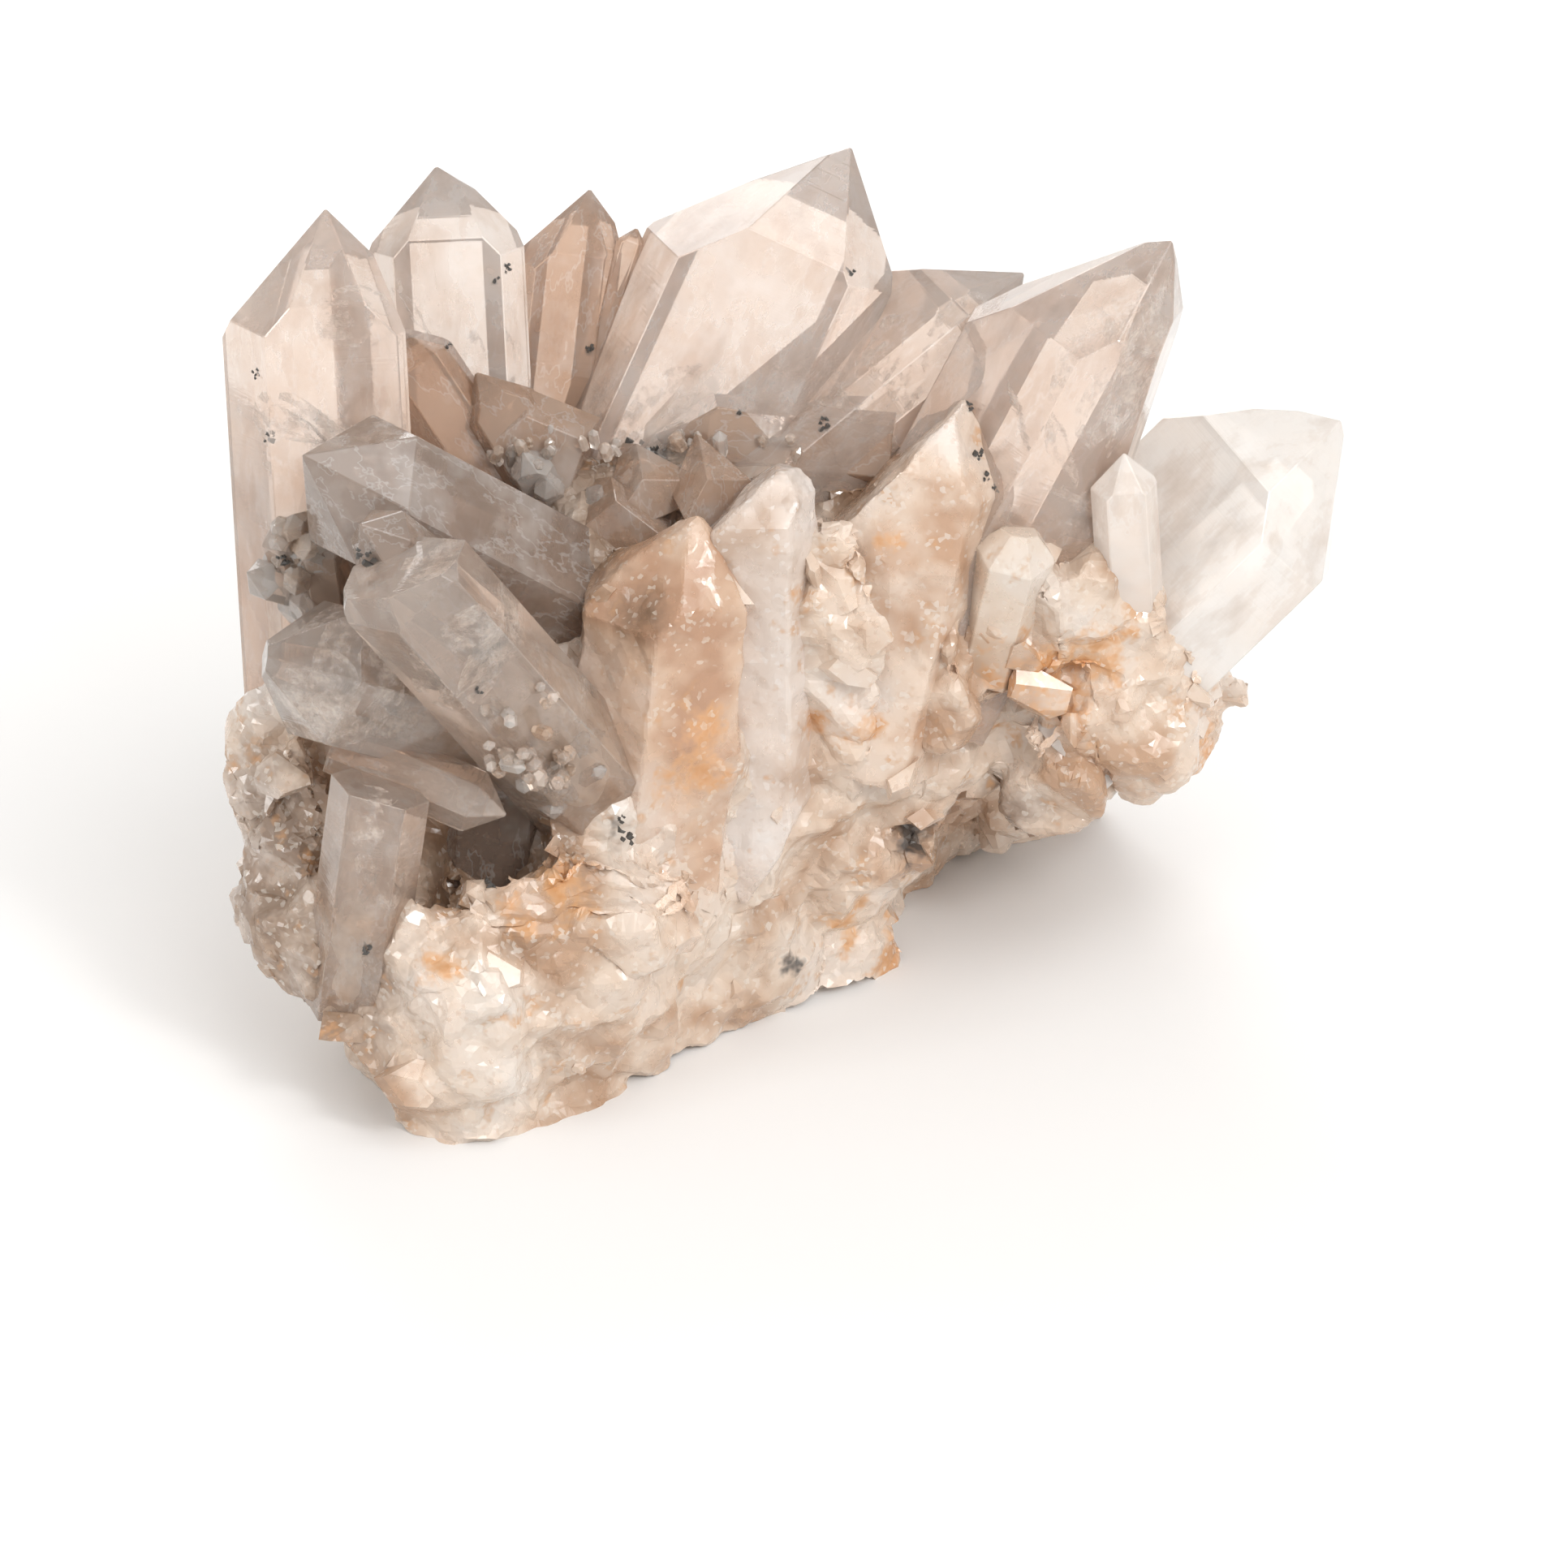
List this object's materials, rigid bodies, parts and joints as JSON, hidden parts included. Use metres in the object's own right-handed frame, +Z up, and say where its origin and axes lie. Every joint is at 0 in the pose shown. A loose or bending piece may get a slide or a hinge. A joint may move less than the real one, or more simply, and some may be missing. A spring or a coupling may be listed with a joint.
{
  "type": "quartz crystal cluster",
  "caption": "Natural cluster of clear and milky quartz: six-sided points that fan out around a hollow from one rough, iron-stained base, which rests on a flat underside.",
  "frame": {"origin": "middle of the outer box, on the surface that the cluster rests on", "axes": "+X along the long side, to the right as seen from the open side; +Y to the back, away from the open side; +Z up"},
  "size_m": [0.3976, 0.2851, 0.298],
  "materials": {
    "quartz": "glossy natural crystal faces on the points, rough and iron-stained where the base is broken"
  },
  "bodies": {
    "root": {"quartz_cluster": "quartz"}
  },
  "joints": []
}
